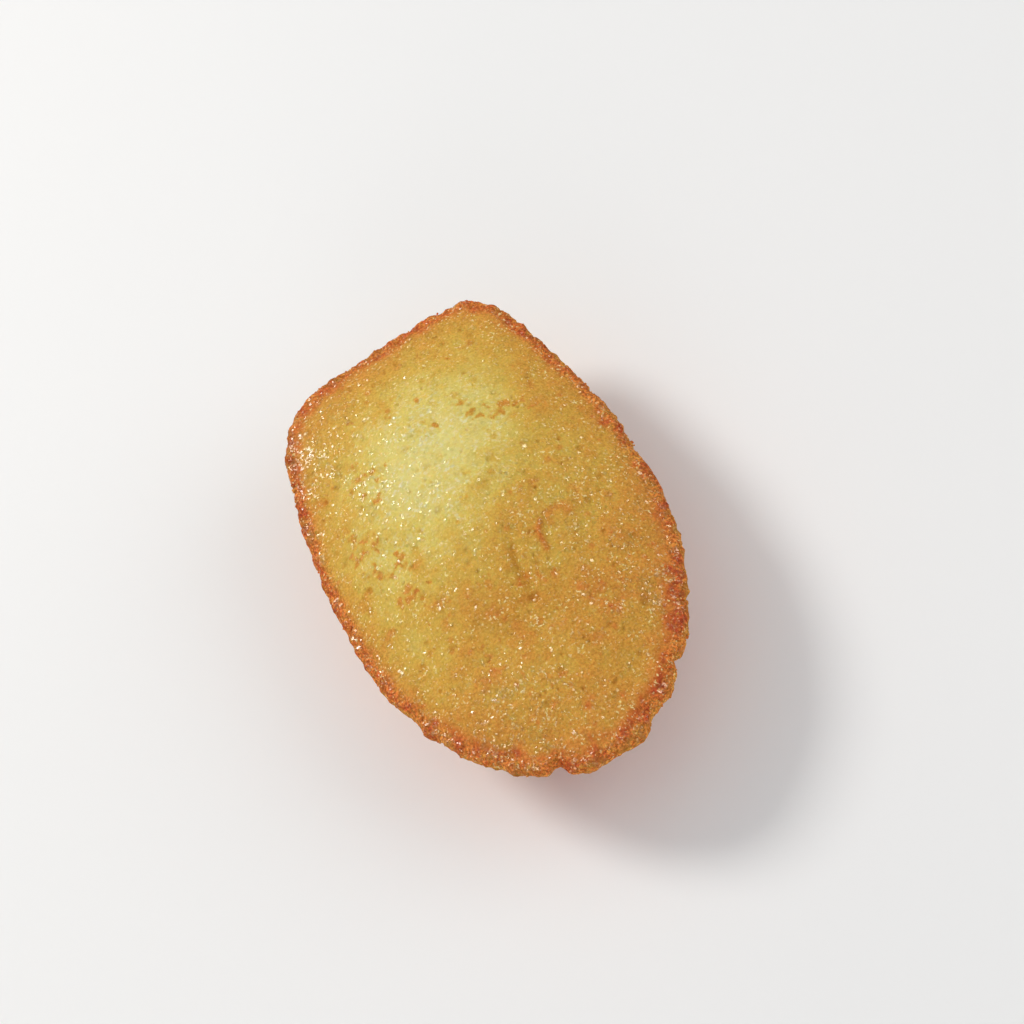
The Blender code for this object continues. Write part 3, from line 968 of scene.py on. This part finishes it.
def baked_surface(name, fine_speck, speck, fleck_and_glint, grain_height, dry, wet, specular):
    """What all crusts share: baked colour with specks, painted shade, sheen and glint flecks, a soft grain,
    and light that goes in a little.
    """
    n = Nodes(name)
    mid = n.math("SUBTRACT", n.noise(0.0019, 3.0, seed=0.4), 0.5)
    colour = toast_and_painted_shade(n, speckled(n, mid, fine_speck, speck), mid)
    n.surface("Base Color", cream_crumb_glints_and_sheen(n, colour, fleck_and_glint))
    n.surface("Roughness", n.span(n.noise(0.0014, seed=2.7), 0.35, 0.65, wet, dry))
    n.surface("Specular IOR Level", specular)
    bump = n.add("Bump")
    n.put(bump.inputs["Strength"], 1.0)
    n.put(bump.inputs["Distance"], 1.0)
    n.put(bump.inputs["Height"], n.math("MULTIPLY", n.noise(0.0007, 3.0, seed=0.2), grain_height))
    n.surface("Normal", bump.outputs[0])
    n.surface("Subsurface Weight", 0.30)
    n.surface("Subsurface Radius", (1.0, 0.45, 0.15))
    n.surface("Subsurface Scale", 0.0010)
    return n.material


def crumb_material():
    """The open crumb and the browned rim: dry and matt."""
    return baked_surface(
        "crumb",
        fine_speck=0.14,
        speck=0.34,
        fleck_and_glint=0.68,
        grain_height=0.00028,
        dry=0.75,
        wet=0.60,
        specular=0.06,
    )


def crust_material():
    """The shell's crust: more mottled, and smoother where it lay against the tin."""
    return baked_surface(
        "crust",
        fine_speck=0.50,
        speck=0.60,
        fleck_and_glint=0.30,
        grain_height=0.00022,
        dry=0.65,
        wet=0.45,
        specular=0.15,
    )


def glaze_material():
    """The wet grains: nearly smooth and shiny."""
    return baked_surface(
        "glaze",
        fine_speck=0.30,
        speck=0.40,
        fleck_and_glint=0.20,
        grain_height=0.00003,
        dry=0.30,
        wet=0.10,
        specular=0.55,
    )


# Studio: the camera looks down on the cake with a long lens, turned so that the cake lies aslant.
CAMERA_DISTANCE = 0.50
CAMERA_ELEVATION = 58.0
CAMERA_ROLL = -28.9
CAMERA_LENS = 130.9
AIM_SHIFT = (0.0028, 0.0037)  # right and up in the picture, from the rim's middle to the picture's
SKY_COLOUR = (0.93, 0.95, 1.0, 1.0)
SKY_STRENGTH = 0.45

# Small lights that show only as glints and don't light the crust: name, azimuth and elevation in degrees.
SPARKLE_POWER = 2.2
SPARKLE_COLOUR = (1.0, 0.89, 0.68)
SPARKLES = (
    ("corner", 203, 18),
    ("left", 226, 30),
    ("high", 202, 50),
    ("right", 106, 45),
    ("over", 305, 74),
    ("low", 300, 26),
    ("front", 322, 44),
    ("dome", 132, 52),
)


def toward(azimuth, elevation):
    """Direction to a place round the cake: azimuth 0 is the fan end and 90 the +X side."""
    a, e = math.radians(azimuth), math.radians(elevation)
    return Vector((math.sin(a) * math.cos(e), -math.cos(a) * math.cos(e), math.sin(e)))


def make_camera():
    """The photo's view."""
    turn = Matrix.Rotation(math.radians(90 - CAMERA_ELEVATION), 4, "X")
    turn = turn @ Matrix.Rotation(math.radians(CAMERA_ROLL), 4, "Z")
    right, up, back = (turn.col[k].to_3d() for k in range(3))
    target = Vector((0.0, 0.0, RIM_TOP)) + right * AIM_SHIFT[0] + up * AIM_SHIFT[1]
    data = bpy.data.cameras.new("camera")
    data.lens = CAMERA_LENS
    data.sensor_width = 36.0
    data.clip_start = 0.01
    camera = bpy.data.objects.new("camera", data)
    camera.matrix_world = Matrix.Translation(target + back * CAMERA_DISTANCE) @ turn
    bpy.context.scene.collection.objects.link(camera)
    bpy.context.scene.camera = camera


def area_light(name, azimuth, elevation, distance, size, power, colour=(1, 1, 1)):
    """A round light that faces the cake from a distance."""
    data = bpy.data.lights.new(name, "AREA")
    data.shape = "DISK"
    data.size = size
    data.energy = power
    data.color = colour
    light = bpy.data.objects.new(name, data)
    way = toward(azimuth, elevation)
    light.location = Vector((0, 0, RIM_TOP)) + way * distance
    light.rotation_mode = "QUATERNION"
    light.rotation_quaternion = way.to_track_quat("Z", "Y")
    bpy.context.scene.collection.objects.link(light)
    return light


def make_floor():
    corners = np.array([[-3, -3, 0], [3, -3, 0], [3, 3, 0], [-3, 3, 0]])
    mesh = make_mesh("floor", corners, [np.array([[0, 1, 2, 3]])])
    n = Nodes("floor")
    n.surface("Base Color", (0.92, 0.92, 0.91, 1.0))
    n.surface("Roughness", 0.7)
    mesh.materials.append(n.material)
    floor = bpy.data.objects.new("floor", mesh)
    bpy.context.scene.collection.objects.link(floor)
    floor.visible_glossy = False


def make_studio():
    """The camera, a key light and two fills, the small glints' lights, a pale sky and the floor."""
    make_camera()
    area_light("key", 220, 41, 0.9, 0.30, 3.95, (1.0, 0.98, 0.95))
    area_light("fill", 76, 32, 1.0, 0.9, 2.6).visible_glossy = False
    area_light("front_fill", 335, 13, 1.0, 0.5, 1.4).visible_glossy = False
    for name, azimuth, elevation in SPARKLES:
        light = area_light("sparkle_" + name, azimuth, elevation, 0.8, 0.28, SPARKLE_POWER, SPARKLE_COLOUR)
        light.visible_diffuse = False
    world = bpy.data.worlds.new("studio")
    world.use_nodes = True
    sky = world.node_tree.nodes["Background"]
    sky.inputs["Color"].default_value = SKY_COLOUR
    sky.inputs["Strength"].default_value = SKY_STRENGTH
    bpy.context.scene.world = world
    world.cycles_visibility.glossy = False
    bpy.context.scene.view_settings.view_transform = "Standard"
    make_floor()


make_studio()
make_top()
make_shell()
make_crumbs()
